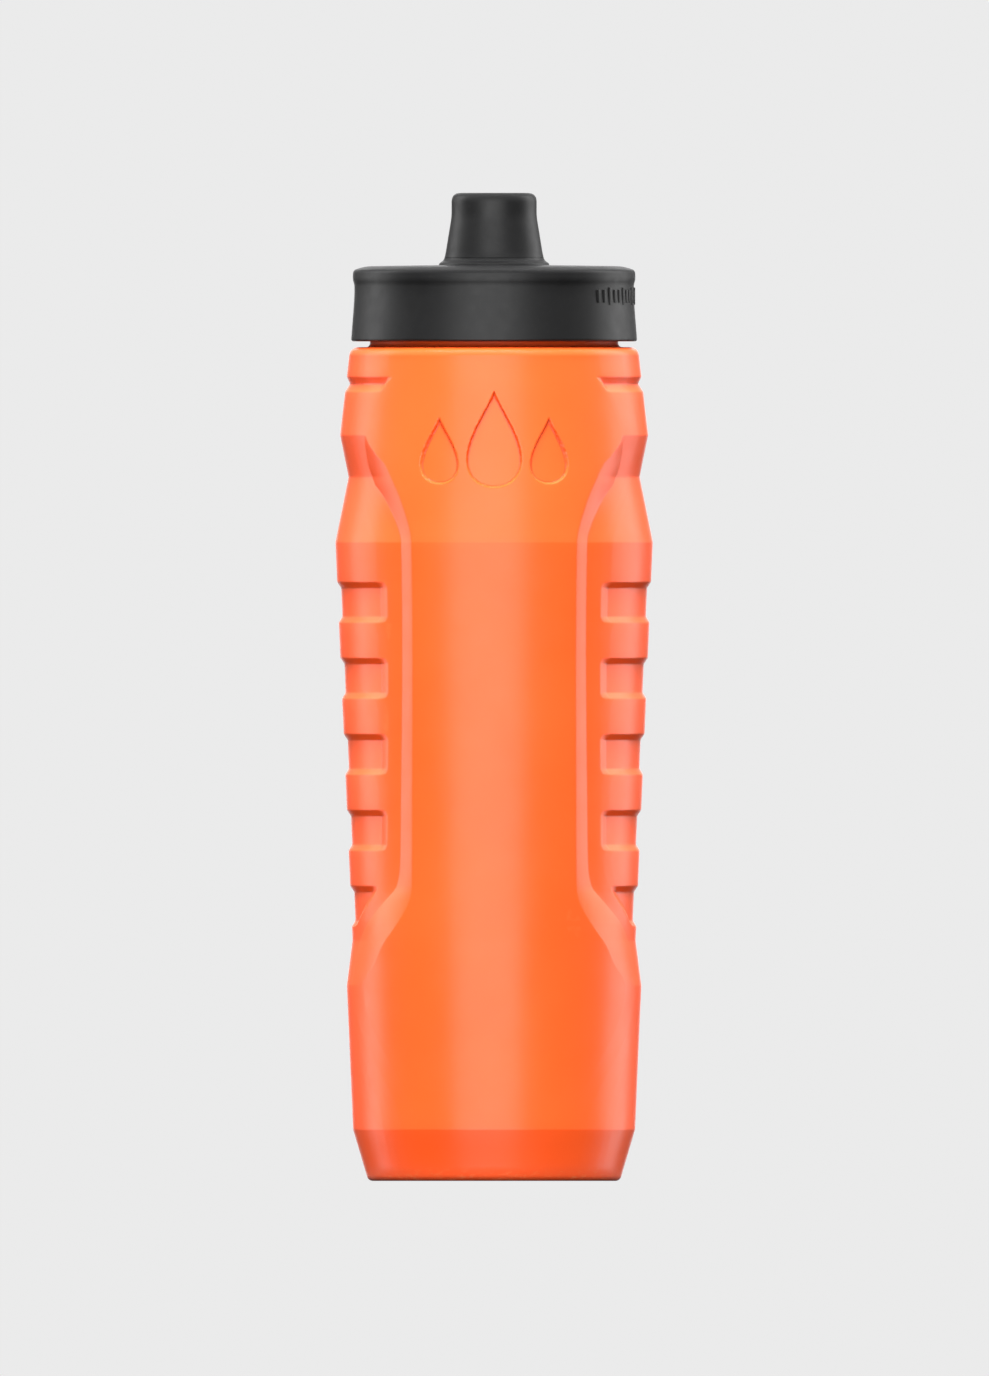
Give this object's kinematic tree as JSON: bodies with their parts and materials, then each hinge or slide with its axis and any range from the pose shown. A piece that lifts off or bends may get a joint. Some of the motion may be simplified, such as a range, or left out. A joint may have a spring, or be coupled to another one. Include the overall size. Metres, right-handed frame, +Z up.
{
  "type": "sports squeeze bottle",
  "caption": "Squeezable tapered drinking bottle with side finger grips, a threaded neck, a screw lid and a push-pull valve nozzle.",
  "frame": {"origin": "centre of the base, on the surface the bottle stands on", "axes": "+Z up along the bottle's axis towards the nozzle; the front faces -Y and the two finger grips face -X and +X"},
  "size_m": [0.0834, 0.0874, 0.26],
  "materials": {
    "body_plastic": "satin orange squeezable polyethylene with a fine blow-moulded texture",
    "soft_touch": "matte charcoal soft-touch elastomer",
    "liner_plastic": "satin black moulded plastic",
    "silicone": "translucent pale silicone",
    "seal_rubber": "matte dark grey seal rubber"
  },
  "bodies": {
    "bottle": {"bottle_body": "body_plastic"},
    "gasket": {"lid_gasket": "silicone"},
    "lid": {"lid_shell": "soft_touch", "lid_liner": "liner_plastic", "spout_ring": "seal_rubber"},
    "nozzle": {"nozzle_cover": "soft_touch", "nozzle_sleeve": "liner_plastic", "jet_valve": "silicone", "valve_retainer": "liner_plastic"}
  },
  "joints": [
    {"name": "lid_lift", "type": "slide", "parent": "bottle", "child": "gasket", "axis": [0, 0, 1], "range_m": [0, 0.0161]},
    {"name": "lid_turn", "type": "hinge", "parent": "gasket", "child": "lid", "pos_m": [0, 0, 0.22], "axis": [0, 0, 1], "range_deg": [0, 720]},
    {"name": "nozzle_slide", "type": "slide", "parent": "lid", "child": "nozzle", "axis": [0, 0, 1], "range_m": [0, 0.006]}
  ],
  "couplings": [
    {"joint": "lid_lift", "follows": "lid_turn", "m_per_rad": 0.0012732}
  ]
}
